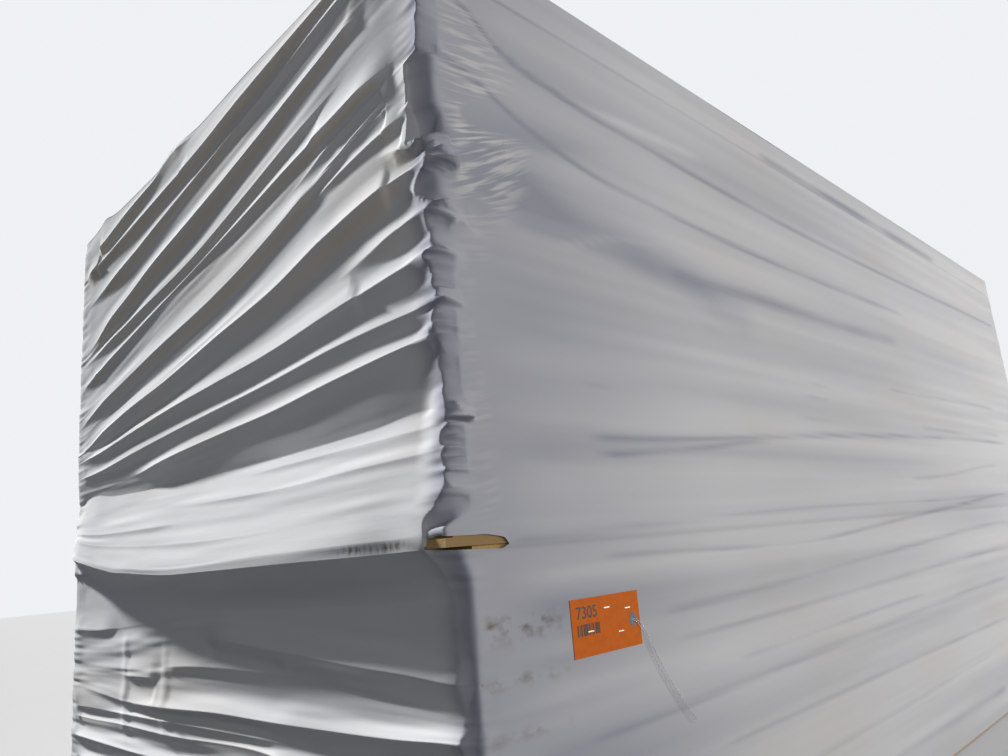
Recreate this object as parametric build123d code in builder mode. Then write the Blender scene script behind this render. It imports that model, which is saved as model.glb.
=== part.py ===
from build123d import *
import os
from math import radians, tan

# A wrapped bundle of rigid foam insulation boards, in millimetres. The boards lie flat in one
# stack with a thinner sheet among them that stands out past the stack at the near corner.
# A white film is shrunk over the top and the four sides, and a card tag is stapled to it.
# X runs along the boards, Y across them and Z up. The origin is the middle of the underside.

# Boards: 4 by 8 feet, 2.4 inches thick
board_length = 2438.4
board_width = 1219.2
board_thickness = 60.96
board_count_below = 8
board_count_above = 12
layer_gap = 0.3

# Thin sheet between them, pushed out at the near corner and turned a little about it. The far
# half of its projecting edge is broken back, almost to the boards' end at the far corner.
sheet_thickness = 12.7
sheet_out_end = 37.0
sheet_out_side = 4.0
sheet_turn = 0.15
sheet_break_start = 620.0
sheet_break_depth = 34.0
chip_length = 34.0
chip_reach = 9.0
chip_depth = 3.7

# Film: its clearance from the boards, its drawn thickness and its lower hem
film_gap = 0.3
film_thickness = 1.5
film_hem = 3.0

# Loose film on the near end stands out of the boards, and comes back to them at its edges
pillow_out = 14.0
pillow_edge_margin = 8.0
pillow_shoulder_near = 34.0
pillow_shoulder_far = 74.0
pillow_shoulder_top = 30.0
pillow_shoulder_hem = 60.0

# Slope of film from there out to a lip over the sheet's end edge. At each station along that
# edge: how far the lip goes past the edge, its height above the sheet, and the slope's rise.
lip_past_near = 0.0
lip_past_middle = 14.0
lip_past_far = -20.0
lip_above_near = 2.0
lip_above_middle = -7.0
lip_above_far = 44.0
slope_rise_near = 124.0
slope_rise_middle = 140.0
slope_rise_far = 106.0
lip_depth = 8.0

# Tear in the film at the sheet's near corner
tear_on_side = 44.0
tear_point = 5.0
tear_on_end = 29.0
tear_margin = 0.6

# Folds of loose film on the near end. Each runs from a place near the near corner to a place
# near the far corner, and has a width and a height. A place is a distance in from that corner
# and a drop, from the stack's top in the upper folds and from the sheet in the lower ones.
upper_folds = [
    ((190, 48), (124, 92), 42, 12),
    ((185, 74), (134, 166), 44, 14),
    ((130, 118), (180, 244), 46, 16),
    ((70, 190), (74, 330), 48, 18),
    ((70, 248), (74, 404), 46, 16),
    ((44, 332), (74, 474), 48, 18),
    ((40, 442), (74, 506), 44, 14),
    ((40, 522), (380, 564), 36, 12),
]
lower_folds = [
    ((40, 132), (749, 106), 18, 8),
    ((40, 196), (519, 198), 30, 12),
]
fold_taper_share = 0.22
fold_crest_width_share = 0.14
fold_crest_length_share = 0.94

# Tag: 5 by 2.5 inch card, its reinforcing ring and the wire's hole
tag_from_end = 139.0
tag_bottom = 358.0
tag_width = 127.0
tag_height = 63.5
tag_thickness = 0.5
tag_gap = 0.3
ring_in_from_edge = 13.5
ring_height = 30.5
ring_radius = 8.0
ring_hole_radius = 2.4
ring_thickness = 0.25

# Staples: distance in from the tag's ringed edge and up from its bottom edge
staple_places = [(63, 49.5), (23, 45), (95, 26.5), (39.5, 20)]
staple_crown = 10.6
staple_wire_width = 1.3
staple_wire_thickness = 0.5
staple_leg = 8.0
staple_slot_clearance = 0.15

# Tag wire: thin wire through the ring, both ends hanging against the film. Each point is its
# distance from the near corner, its height, and how far it stands off the film.
wire_diameter = 0.6
wire_arc_share = 0.45
upper_strand_points = [
    (251.4, 389.1, 0.7),
    (254.3, 388.6, 1.85),
    (260.2, 385.9, 2.15),
    (271.8, 376.0, 1.8),
    (283.6, 354.6, 2.0),
    (301.0, 324.4, 2.3),
    (321.6, 297.8, 2.1),
    (341.0, 273.2, 2.3),
    (360.6, 252.4, 2.5),
]
lower_strand_points = [
    (251.2, 387.7, 0.7),
    (254.0, 386.9, 1.85),
    (259.4, 383.4, 2.15),
    (268.8, 372.4, 1.8),
    (279.2, 350.6, 2.0),
    (295.6, 320.8, 2.3),
    (315.2, 294.6, 2.1),
    (334.0, 270.8, 2.3),
    (352.8, 250.2, 2.5),
]

# Worked-out places
board_pitch = board_thickness + layer_gap
sheet_bottom = board_count_below * board_pitch
sheet_top = sheet_bottom + sheet_thickness
upper_stack_bottom = sheet_top + layer_gap
stack_top = upper_stack_bottom + board_count_above * board_pitch - layer_gap
near_end = -board_length / 2
near_side = -board_width / 2
film_outer_clear = film_gap + film_thickness
film_face = near_side - film_outer_clear
tag_back = film_face - tag_gap
tag_face = tag_back - tag_thickness
tag_left = near_end + tag_from_end
tag_right = tag_left + tag_width
ring_centre = (tag_right - ring_in_from_edge, tag_bottom + ring_height)
staple_centres = [(tag_right - inward, tag_bottom + up) for inward, up in staple_places]
sheet_corner = Vector(near_end - sheet_out_end, near_side - sheet_out_side, sheet_bottom)


def board_stack(bottom, count):
    """Boards of one size lying one on another, with a little air between them."""
    for layer in range(count):
        with BuildSketch(Plane.XY.offset(bottom + layer * board_pitch)) as outline:
            Rectangle(board_length, board_width)
        extrude(outline.sketch, amount=board_thickness)


def sheet_plane(height):
    """Level plane at the sheet's near corner, turned as the sheet is turned."""
    corner = (sheet_corner.X, sheet_corner.Y, height)
    return Plane(origin=corner, z_dir=(0, 0, 1)).rotated((0, 0, sheet_turn))


def sheet_slab(clear):
    """The turned sheet, broken back along its end edge, with its faces moved out by a clearance."""
    with BuildSketch(sheet_plane(sheet_bottom - clear)) as outline:
        with BuildLine():
            Polyline(
                (-clear, -clear),
                (board_length + clear, -clear),
                (board_length + clear, board_width + clear),
                (sheet_break_depth - clear, board_width + clear),
                (-clear, sheet_break_start),
                close=True,
            )
        make_face()
    extrude(outline.sketch, amount=sheet_thickness + 2 * clear)


def stack_envelope(clear):
    """Box around the squared boards, down to the film's hem."""
    with BuildSketch(Plane.XY.offset(film_hem)) as outline:
        Rectangle(board_length + 2 * clear, board_width + 2 * clear)
    extrude(outline.sketch, amount=stack_top + clear - film_hem)


def film_pillow(clear):
    """Loose film standing out of the near end, between shoulders at its four edges."""
    face = Plane(origin=(near_end, 0, 0), x_dir=(0, -1, 0), z_dir=(-1, 0, 0))
    stations = (
        (face.offset(clear - film_thickness), (pillow_edge_margin,) * 4),
        (
            face.offset(clear + pillow_out),
            (pillow_shoulder_near, pillow_shoulder_far, pillow_shoulder_top, pillow_shoulder_hem),
        ),
    )
    outlines = []
    for plane, (in_near, in_far, in_top, in_hem) in stations:
        near = -near_side + clear - in_near
        far = near_side - clear + in_far
        top = stack_top + clear - in_top
        hem = film_hem + in_hem
        with BuildSketch(plane) as outline:
            with BuildLine():
                Polyline((near, hem), (near, top), (far, top), (far, hem), close=True)
            make_face()
        outlines.append(outline.sketch)
    loft(outlines, ruled=True)


def film_slope(clear):
    """Film that leaves the end face and slopes out to a lip over the sheet's end edge."""
    edge_plane = sheet_plane(sheet_top + clear)
    face = near_end - clear
    stations = (
        (-clear, lip_past_near, lip_above_near, slope_rise_near),
        (board_width / 2, lip_past_middle, lip_above_middle, slope_rise_middle),
        (board_width + clear, lip_past_far, lip_above_far, slope_rise_far),
    )
    profiles = []
    for along_edge, past, above, rise in stations:
        edge = edge_plane.from_local_coords((-clear - past, along_edge, 0))
        across = min(max(edge.Y, near_side - clear), -near_side + clear)
        lip = edge.Z + above
        lowest = lip - lip_depth - clear
        with BuildSketch(Plane.XZ.offset(-across)) as profile:
            with BuildLine():
                Polyline(
                    (edge.X, lowest),
                    (edge.X, lip),
                    (face, lip + rise),
                    (face + film_thickness, lip + rise),
                    (face + film_thickness, lowest),
                    close=True,
                )
            make_face()
        profiles.append(profile.sketch)
    loft(profiles, ruled=True)


def end_fold(fold, top, clear):
    """One tapering fold of film, standing out of the near end face below a given height."""
    (near_in, near_drop), (far_in, far_drop), width, height = fold
    near = Vector(near_side + near_in, top - near_drop)
    far = Vector(-near_side - far_in, top - far_drop)
    middle = (near + far) * 0.5
    along = (far - near) * 0.5
    up = Vector(-along.Y, along.X).normalized() * (width / 2)
    pillow_face = near_end - clear - pillow_out
    face = Plane(
        origin=(pillow_face + film_thickness, 0, 0), x_dir=(0, -1, 0), z_dir=(-1, 0, 0)
    )
    spindles = (
        (face, 1.0, 1.0),
        (
            face.offset(height + film_thickness),
            fold_crest_length_share,
            fold_crest_width_share,
        ),
    )
    outlines = []
    for plane, length_share, width_share in spindles:
        tip = along * length_share
        shoulder = tip * (1 - 2 * fold_taper_share)
        side = up * width_share
        points = (
            middle - tip,
            middle - shoulder - side,
            middle + shoulder - side,
            middle + tip,
            middle + shoulder + side,
            middle - shoulder + side,
        )
        with BuildSketch(plane) as outline:
            with BuildLine():
                Polyline(*[(-point.X, point.Y) for point in points], close=True)
            make_face()
        outlines.append(outline.sketch)
    loft(outlines, ruled=True)


def wrapped_form(clear):
    """Everything the film goes round, with its faces moved out by a clearance."""
    stack_envelope(clear)
    sheet_slab(clear)
    film_pillow(clear)
    film_slope(clear)
    for fold in upper_folds:
        end_fold(fold, stack_top, clear)
    for fold in lower_folds:
        end_fold(fold, sheet_bottom, clear)


def staple_slots(depth_to):
    """Slots for the staples' legs, from outside the tag to a given depth."""
    slot_width = staple_wire_thickness + 2 * staple_slot_clearance
    slot_height = staple_wire_width + 2 * staple_slot_clearance
    leg_spacing = staple_crown - staple_wire_thickness
    with BuildSketch(Plane.XZ.offset(-tag_face)) as slots:
        with Locations(*staple_centres):
            with GridLocations(leg_spacing, 1, 2, 1):
                Rectangle(slot_width, slot_height)
    extrude(slots.sketch, amount=-(depth_to - tag_face), mode=Mode.SUBTRACT)


with BuildPart() as boards_below:
    board_stack(0, board_count_below)
    staple_slots(tag_face + staple_leg + staple_slot_clearance)

with BuildPart() as boards_above:
    board_stack(upper_stack_bottom, board_count_above)

with BuildPart() as projecting_sheet:
    sheet_slab(0)
    # The upper edge of the sheet's end is broken away for a short way from its corner.
    with BuildSketch(sheet_plane(sheet_top)):
        with BuildLine():
            Polyline(
                (0, 0),
                (chip_reach, 0),
                (chip_reach * 0.7, chip_length * 0.6),
                (0, chip_length),
                close=True,
            )
        make_face()
    extrude(amount=-chip_depth, mode=Mode.SUBTRACT)

with BuildPart() as wrapped_inside:
    wrapped_form(film_gap)
    # The hem is open, so the inside form reaches below it.
    with BuildSketch(Plane.XY):
        Rectangle(board_length + 2 * film_gap, board_width + 2 * film_gap)
    extrude(amount=film_hem)

with BuildPart() as shrink_film:
    wrapped_form(film_outer_clear)
    add(wrapped_inside.part, mode=Mode.SUBTRACT)
    # Tear along the sheet's long edge, ending in a point
    tear_bottom = sheet_bottom - film_gap + tear_margin
    tear_top = sheet_top + film_gap - tear_margin
    tear_middle = (tear_bottom + tear_top) / 2
    with BuildSketch(Plane.XZ.offset(-near_side)):
        with BuildLine():
            Polyline(
                (sheet_corner.X - film_outer_clear, tear_bottom),
                (near_end + tear_on_side, tear_bottom),
                (near_end + tear_on_side + tear_point, tear_middle),
                (near_end + tear_on_side, tear_top),
                (sheet_corner.X - film_outer_clear, tear_top),
                close=True,
            )
        make_face()
    extrude(amount=sheet_out_side + film_outer_clear + film_thickness, mode=Mode.SUBTRACT)
    # Tear round the corner, along the sheet's end edge
    with BuildSketch(sheet_plane(tear_bottom)):
        with Locations((-film_outer_clear - film_thickness, -film_outer_clear - film_thickness)):
            Rectangle(
                film_outer_clear + 2 * film_thickness,
                tear_on_end + film_outer_clear,
                align=(Align.MIN, Align.MIN),
            )
    extrude(amount=tear_top - tear_bottom, mode=Mode.SUBTRACT)
    staple_slots(near_side)

with BuildPart() as tag_card:
    with BuildSketch(Plane.XZ.offset(-tag_back)):
        with Locations((tag_left, tag_bottom)):
            Rectangle(tag_width, tag_height, align=(Align.MIN, Align.MIN))
        with Locations(ring_centre):
            Circle(ring_hole_radius, mode=Mode.SUBTRACT)
    extrude(amount=tag_thickness)
    staple_slots(tag_back)

with BuildPart() as tag_ring:
    with BuildSketch(Plane.XZ.offset(-tag_face)):
        with Locations(ring_centre):
            Circle(ring_radius)
            Circle(ring_hole_radius, mode=Mode.SUBTRACT)
    extrude(amount=ring_thickness)

with BuildPart() as staples:
    for staple_x, staple_z in staple_centres:
        with BuildSketch(Plane.XY.offset(staple_z - staple_wire_width / 2)):
            with Locations((staple_x, tag_face - staple_wire_thickness)):
                Rectangle(
                    staple_crown,
                    staple_leg + staple_wire_thickness,
                    align=(Align.CENTER, Align.MIN),
                )
            with Locations((staple_x, tag_face)):
                Rectangle(
                    staple_crown - 2 * staple_wire_thickness,
                    staple_leg,
                    align=(Align.CENTER, Align.MIN),
                    mode=Mode.SUBTRACT,
                )
        extrude(amount=staple_wire_width)


def strand_route(points):
    """A strand's points in the part's own frame."""
    return [Vector(near_end + x, film_face - off, z) for x, z, off in points]


def strand_radii(route):
    """Bend radius at each corner of a route: as large as its two runs allow."""
    radii = []
    for before, corner, after in zip(route, route[1:], route[2:]):
        run_in = corner - before
        run_out = after - corner
        half_turn = run_in.get_angle(run_out) / 2
        shorter = min(run_in.length, run_out.length)
        radii.append(wire_arc_share * shorter / tan(radians(half_turn)))
    return radii


def strand_tube(points):
    """Round wire along a strand's route."""
    route = strand_route(points)
    radii = strand_radii(route)
    print("wire bend radii", [round(radius, 1) for radius in radii])
    with BuildLine() as path:
        FilletPolyline(*route, radius=radii)
    with BuildSketch(Plane(origin=path.line @ 0, z_dir=path.line % 0)) as section:
        Circle(wire_diameter / 2)
    sweep(section.sketch, path=path.line)
    print("wire length", round(path.wire().length, 1))


with BuildPart() as tag_wire_upper:
    strand_tube(upper_strand_points)

with BuildPart() as tag_wire_lower:
    strand_tube(lower_strand_points)


os.makedirs("parts", exist_ok=True)

boards_below.part.label = "boards_below"
export_step(boards_below.part, "parts/boards_below.step")

boards_above.part.label = "boards_above"
export_step(boards_above.part, "parts/boards_above.step")

projecting_sheet.part.label = "projecting_sheet"
export_step(projecting_sheet.part, "parts/projecting_sheet.step")

shrink_film.part.label = "shrink_film"
export_step(shrink_film.part, "parts/shrink_film.step")

tag_card.part.label = "tag_card"
export_step(tag_card.part, "parts/tag_card.step")

tag_ring.part.label = "tag_ring"
export_step(tag_ring.part, "parts/tag_ring.step")

staples.part.label = "staples"
export_step(staples.part, "parts/staples.step")

tag_wire_upper.part.label = "tag_wire_upper"
export_step(tag_wire_upper.part, "parts/tag_wire_upper.step")

tag_wire_lower.part.label = "tag_wire_lower"
export_step(tag_wire_lower.part, "parts/tag_wire_lower.step")
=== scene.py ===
from math import cos, pi, radians

import bpy
import numpy as np
from bpy.props import FloatProperty, FloatVectorProperty, IntProperty, PointerProperty
from bpy.types import Operator, Panel, PropertyGroup
from mathutils import Matrix, Vector


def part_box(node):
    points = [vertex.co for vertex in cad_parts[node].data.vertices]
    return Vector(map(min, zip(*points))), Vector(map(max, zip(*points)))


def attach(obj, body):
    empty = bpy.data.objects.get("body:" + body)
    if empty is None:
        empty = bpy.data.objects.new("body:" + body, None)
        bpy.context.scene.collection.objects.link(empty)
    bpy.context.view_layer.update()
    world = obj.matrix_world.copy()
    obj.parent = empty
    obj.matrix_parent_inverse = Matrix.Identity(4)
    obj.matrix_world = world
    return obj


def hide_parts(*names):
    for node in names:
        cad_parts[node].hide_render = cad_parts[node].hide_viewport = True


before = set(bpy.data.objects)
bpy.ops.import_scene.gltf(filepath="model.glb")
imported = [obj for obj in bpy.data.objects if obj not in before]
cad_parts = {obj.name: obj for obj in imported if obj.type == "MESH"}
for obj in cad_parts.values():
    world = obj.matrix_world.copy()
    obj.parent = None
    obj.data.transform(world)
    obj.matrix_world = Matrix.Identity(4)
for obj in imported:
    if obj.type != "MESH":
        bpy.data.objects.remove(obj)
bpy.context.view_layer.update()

bl_info = {
    "name": "Wrapped Insulation Board Bundle",
    "version": (1, 0, 0),
    "blender": (4, 5, 0),
    "location": "View3D > Sidebar > Bundle",
    "description": "Dresses a film-wrapped bundle of rigid foam boards around its solid model",
    "category": "Add Mesh",
}

MM = 0.001
BOARD_LOW, BOARD_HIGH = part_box("boards_above")
FLOOR_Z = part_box("boards_below")[0].z
TAG_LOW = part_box("tag_card")[0]
SHEET_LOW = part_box("projecting_sheet")[0]

# The film's line round the boards, just clear of them, in mm. A place on the film is told by its
# distance round the bundle from the near corner, which grows along the near end and is negative
# on the long side, and by its height.
FILM_CLEAR = 1.8
WIDTH = (BOARD_HIGH.y - BOARD_LOW.y) / MM + 2 * FILM_CLEAR
LENGTH = (BOARD_HIGH.x - BOARD_LOW.x) / MM + 2 * FILM_CLEAR
NEAR_X = BOARD_LOW.x / MM - FILM_CLEAR
NEAR_Y = BOARD_LOW.y / MM - FILM_CLEAR
FAR_X = NEAR_X + LENGTH
FAR_Y = NEAR_Y + WIDTH
TOP_Z = BOARD_HIGH.z / MM + FILM_CLEAR
HEM_Z = 3.0
CORNER_RADIUS = 4.0
# How far each end of the near end's film goes on round the corners, and where its far end is cut
NEAR_WRAP = 100.0
FAR_WRAP = 60.0
FAR_CUT = WIDTH - 3.2
# Where the rows of points lie: their pitches and the least gap between two guide lines
ROW_PITCH = 2.2
SIDE_ROW_PITCH = 3.4
LEAST_GAP = 1.0
# The steepest that a fold may stand against the gap above it, so that its flank stays lit
STEEPEST = 0.165
# The projecting sheet's middle height and the film's reach over it, on the near and the back side
SHEET_MIDDLE = 496.5
SHEET_REACH = 11.0
OVER_SHEET = 4.0
BACK_BULGE = 2.4


def curve_through(points, at):
    """A smooth curve through a few points, held level beyond its ends."""
    where, value = (np.array(column, float) for column in zip(*points))
    slope = np.gradient(value, where)
    slope[0] = slope[-1] = 0.0
    at = np.clip(np.asarray(at, float), where[0], where[-1])
    span = np.clip(np.searchsorted(where, at) - 1, 0, len(where) - 2)
    width = where[span + 1] - where[span]
    t = (at - where[span]) / width
    before = (1 + 2 * t) * (1 - t) ** 2 * value[span] + t * (1 - t) ** 2 * width * slope[span]
    after = t * t * (3 - 2 * t) * value[span + 1] + t * t * (t - 1) * width * slope[span + 1]
    return before + after


def smooth_step(start, end, at):
    """0 before start, 1 after end, and smooth between them. Start may be past end."""
    t = np.clip((np.asarray(at, float) - start) / (end - start), 0, 1)
    return t * t * (3 - 2 * t)


def window(start, full, fade, end, at):
    """Rises from start to full and falls from fade to end."""
    return smooth_step(start, full, at) * smooth_step(end, fade, at)


def bell(at, middle, half, power=2):
    """1 at the middle, and dying away over about half on either side."""
    return np.exp(-(((at - middle) / half) ** power))


def ripple(across, along, seed):
    """Soft random ripples about one unit apart, from -1 to 1."""
    lattice = np.random.default_rng(seed).uniform(-1, 1, (256, 256))
    across, along = np.broadcast_arrays(across, along)
    a0, b0 = np.floor(across).astype(int), np.floor(along).astype(int)
    a, b = across - a0, along - b0
    a, b = a * a * (3 - 2 * a), b * b * (3 - 2 * b)
    near = lattice[a0 % 256, b0 % 256] * (1 - a) + lattice[(a0 + 1) % 256, b0 % 256] * a
    far = lattice[a0 % 256, (b0 + 1) % 256] * (1 - a) + lattice[(a0 + 1) % 256, (b0 + 1) % 256] * a
    return near * (1 - b) + far * b


def ripples(across, along, *waves):
    """A sum of ripples, each with its height, its width across and along, and its seed."""
    return sum(rise * ripple(across / width, along / length, seed) for rise, width, length, seed in waves)


# Folds of the near end from the top down: the line of each crest, as places and heights, its
# height off the film round it, where it rises near the near corner and where it dies away.
FOLDS = [
    ([(0, 1234), (600, 1231), (735, 1225), (840, 1211), (925, 1200), (1000, 1189), (1060, 1182),
      (1140, 1184), (1219, 1190)], 8, (620, 760), (1080, 1110)),
    ([(0, 1227), (140, 1223), (230, 1216), (330, 1208), (430, 1200), (530, 1191), (735, 1172),
      (925, 1155), (1060, 1146), (1219, 1139)], 9, (100, 230), (1130, 1200)),
    ([(0, 1212), (140, 1206), (230, 1197), (330, 1184), (530, 1157), (735, 1125), (925, 1091),
      (1015, 1079), (1100, 1072), (1219, 1066)], 9, (110, 220), (940, 1190)),
    ([(0, 1182), (140, 1164), (230, 1146), (430, 1107), (630, 1069), (840, 1032), (925, 1012),
      (1000, 996), (1090, 975), (1219, 962)], 10, (100, 190), (960, 1210)),
    ([(0, 1128), (140, 1103), (230, 1083), (430, 1040), (630, 1000), (840, 974), (925, 963), (1000, 955),
      (1090, 945), (1219, 938)], 5, (150, 330), (960, 1200)),
    ([(0, 1069), (70, 1063), (140, 1050), (330, 1025), (530, 994), (735, 962), (850, 942), (1010, 915),
      (1100, 899), (1219, 886)], 10, (50, 130), (980, 1250)),
    ([(0, 1047), (60, 1041), (130, 1031), (180, 1021), (250, 1002), (430, 968), (735, 922), (930, 882),
      (1020, 862), (1150, 840), (1219, 832)], 5, (66, 84), (150, 320)),
    ([(0, 1031), (75, 1020), (125, 1007), (175, 994), (250, 978), (430, 944), (735, 899), (930, 866),
      (1020, 849), (1150, 828), (1219, 820)], 4, (70, 90), (110, 240)),
    ([(0, 1012), (77, 1009), (143, 997), (226, 978), (328, 951), (530, 909), (735, 880), (852, 863),
      (1007, 838), (1138, 816), (1219, 806)], 7, (50, 130), (1000, 1250)),
    ([(0, 983), (43, 984), (80, 981), (123, 976), (210, 962), (330, 932), (530, 882), (735, 852),
      (1007, 818), (1219, 790)], 5, (24, 70), (110, 290)),
    ([(-30, 950), (0, 944), (20, 935), (45, 942), (72, 951), (140, 950), (330, 905), (530, 862),
      (735, 832), (1007, 800), (1219, 774)], 8, (-44, -6), (34, 96)),
    ([(-28, 910), (0, 915), (43, 912), (110, 904), (210, 889), (328, 864), (530, 837), (735, 808),
      (925, 787), (1056, 767), (1150, 754), (1219, 750)], 10, (-44, 6), (950, 1200)),
    ([(-40, 838), (0, 852), (60, 848), (113, 839), (180, 829), (330, 814), (530, 800), (735, 782),
      (1056, 750), (1219, 741)], 7, (-54, -6), (60, 200)),
    ([(-20, 802), (0, 803), (77, 797), (193, 788), (328, 776), (530, 767), (735, 757), (925, 743),
      (1056, 734), (1180, 732), (1219, 731)], 9, (-30, 10), (1000, 1240)),
    ([(0, 747), (60, 746), (200, 743), (328, 736), (530, 727), (735, 717), (852, 710), (1056, 698),
      (1219, 697)], 5, (-14, 36), (1140, 1219)),
    ([(0, 713), (27, 712), (143, 706), (227, 701), (328, 694), (530, 687), (735, 677), (837, 670),
      (1056, 676), (1219, 678)], 11, (0, 36), (690, 930)),
]
WALL_FOOT = [(0, 672), (800, 662), (1219, 664)]
PANEL_TOP = [(-20, 622), (27, 635), (143, 632), (328, 630), (655, 634), (909, 640), (1024, 646),
             (1100, 655), (1150, 654), (1219, 640)]
PANEL_FOLDS = [
    ([(0, 617), (400, 616), (1219, 622)], 1.2, (0, 30), (330, 480)),
    ([(0, 589), (177, 588), (310, 585), (700, 592), (1020, 592), (1219, 600)], 1.8, (-5, 30), (420, 700)),
    ([(0, 566), (310, 560), (700, 565), (1020, 572), (1219, 584)], 1.6, (640, 760), (1100, 1180)),
    ([(0, 540), (310, 530), (700, 534), (1020, 552), (1219, 572)], 1.2, (300, 500), (1100, 1180)),
]


def lowered(points, drop):
    """The points of a line that runs the given drop below another one."""
    return [(place, height - drop) for place, height in points]


# The lip where the film turns over the sheet's edge, and the tear that shows the sheet's corner
LIP_FAR_END = [(740, 498), (809, 502), (872, 505), (975, 516), (1084, 530), (1168, 541), (1219, 550)]
LIP_TOP = [(-100, 506), (0, 504.6), (46, 502.8), (160, 502), (256, 501), (377, 500), (527, 496),
           (648, 495)] + LIP_FAR_END
TEAR_TOP = [(-100, 492), (-60, 491.5), (-49, 490.2), (-45, 495), (-40, 498.5), (-20, 500.5), (0, 501.2),
            (18, 501.8), (26, 498), (31, 492.5), (46, 492.6), (60, 494), (160, 495), (300, 494),
            (527, 491), (648, 490.5)] + lowered(LIP_FAR_END, 4)
TEAR_FOOT = [(-100, 486), (-60, 487.5), (-49, 488.8), (-44, 486), (-30, 485.6), (0, 487), (20, 488.4),
             (31, 489.8), (46, 489.6), (60, 489.4), (300, 488.4), (527, 487),
             (648, 487)] + lowered(LIP_FAR_END, 7)
TEAR_FROM = -51.0
TEAR_TO = 31.0
RETURN_FOOT = [(-100, 452), (0, 449), (60, 440), (300, 430), (800, 436), (1000, 455), (1168, 496),
               (1219, 520)]
LOW_FOLDS = [
    ([(0, 408), (460, 424), (800, 410), (1000, 397), (1100, 394), (1219, 396)], 4, (950, 1040),
      (1180, 1240)),
    ([(0, 357), (110, 364), (205, 369), (316, 376), (419, 382), (489, 387), (572, 389), (800, 372),
      (968, 359), (1219, 352)], 9, (4, 20), (520, 610)),
    ([(0, 336), (233, 345), (324, 347), (428, 349), (568, 349), (696, 345), (840, 335), (1000, 330),
      (1219, 326)], 4, (280, 460), (700, 760)),
    ([(0, 322), (300, 328), (568, 328), (750, 325), (861, 322), (1000, 318), (1219, 312)], 4, (760, 800),
      (880, 920)),
    ([(0, 304), (116, 298), (274, 293), (422, 290), (540, 289), (708, 283), (916, 279), (1068, 284),
      (1219, 286)], 8, (4, 20), (640, 1190)),
    ([(0, 262), (330, 266), (560, 264), (700, 262), (900, 258), (1060, 254), (1219, 250)], 3, (300, 460),
      (1150, 1219)),
    ([(0, 240), (330, 247), (427, 250), (697, 242), (900, 240), (1144, 232), (1219, 232)], 5, (40, 160),
      (1150, 1219)),
    ([(0, 205), (400, 206), (900, 202), (1219, 198)], 5, (20, 80), (1140, 1219)),
    ([(0, 158), (500, 164), (1219, 160)], 6, (30, 100), (1100, 1200)),
    ([(0, 112), (500, 118), (1219, 116)], 5, (30, 120), (1120, 1200)),
    ([(0, 62), (500, 66), (1219, 66)], 5, (30, 120), (1120, 1200)),
]

# How far the film stands out of the boards' end: in general, along the lip, and by height
LOOSE_DEPTH = [(0, 20), (30, 20), (90, 22), (200, 22), (400, 20), (900, 20), (1100, 19), (1170, 17),
               (1219, 14), (1250, 8), (1281, 0)]
LOW_DEPTH = [(0, 8.5), (200, 9.5), (500, 9.5), (640, 11), (800, 14), (1000, 12), (1150, 9), (1219, 8),
             (1281, 0)]
LIP_DEPTH = [(0, 38.4), (46, 38.3), (80, 39.0), (150, 43.5), (400, 50), (620, 52), (850, 50), (984, 46),
             (1084, 42), (1140, 37), (1180, 29), (1219, 15), (1281, 0)]
# How far the film's top edge lifts off along the near end
TOP_LIFT = [(-60, 0), (0, 6), (100, 14), (300, 14), (600, 10), (760, 11), (790, 2), (816, 0), (1000, 0),
            (1050, 5), (1085, 11), (1120, 4), (1160, 0), (1219, 0)]
# Where the loose film starts near the near corner, by height
SHOULDER = [(0, 22), (400, 22), (440, 24), (468, 30), (489, 42), (491, 46), (503, 44), (512, 36),
            (524, 22), (536, 8), (546, -4), (552, -9), (558, -2), (567, 3), (590, 6), (605, 10), (614, 5),
            (619, 0), (625, -8), (634, -7), (642, 4), (662, 6), (684, 9), (702, 5), (716, 8), (729, 11),
            (739, 6), (747, -5), (752, -1), (759, -5), (765, 2), (776, 6), (790, 5), (802, 4), (808, -9),
            (817, 0), (828, 5), (838, 8), (848, 6), (854, -5), (861, -5), (868, 8), (876, 24), (890, 26),
            (900, 16), (906, 0), (915, -8), (926, -8), (935, 2), (941, 16), (947, 60), (959, 75),
            (975, 66), (982, 54), (989, 43), (1010, 40), (1030, 36), (1046, 36), (1051, 20), (1056, 8),
            (1063, 7), (1086, 4), (1127, 2), (1219, 8)]
# Ears of film that stick out at the near corner: place, height, how far out and how far up
EARS = [(38, 990, 14, 4), (-3, 937, 9, 9), (-6, 929, 12, 3), (-8, 921, 20, 0), (-9, 911, 22, -2),
        (-6, 857, 24, -1), (-4, 845, 8, -2), (-8, 809, 12, -3), (4, 790, 4, 2), (4, 776, 5, 1),
        (-4, 760, 6, 3), (-5, 748, 12, 1), (6, 733, 5, 1), (5, 722, 6, 2), (4, 710, 5, 1),
        (-7, 634, 6, 7), (-8, 628, 14, 4), (-8, 621, 16, 0), (3, 614, 6, 1), (4, 601, 6, 2),
        (4, 590, 5, 1), (2, 577, 9, 3), (2, 568, 6, 0), (-6, 552, 6, -2)]

# Hatching of the long side next to the near corner: its slope, strength and reach by height; its strength
# sets both its wrinkles and the painted light streaks on them
HATCH_SLOPE = [(780, 0.2), (860, 0.3), (905, 0.46), (950, 0.5), (985, 0.25), (1015, 0.15), (1110, 0.15),
               (1150, -0.1), (1200, -0.2)]
HATCH_SHARE = [(500, 0.0), (545, 0.5), (590, 0.25), (640, 0.6), (670, 0.3), (700, 0.6), (740, 0.25),
               (800, 0.3), (850, 0.5), (880, 1.0), (1130, 1.0), (1185, 0.3), (1215, 0.0)]
HATCH_REACH = [(500, 60), (640, 50), (760, 40), (820, 90), (860, 150), (935, 140), (960, 60), (1000, 50),
               (1020, 110), (1110, 110), (1160, 70)]
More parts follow.
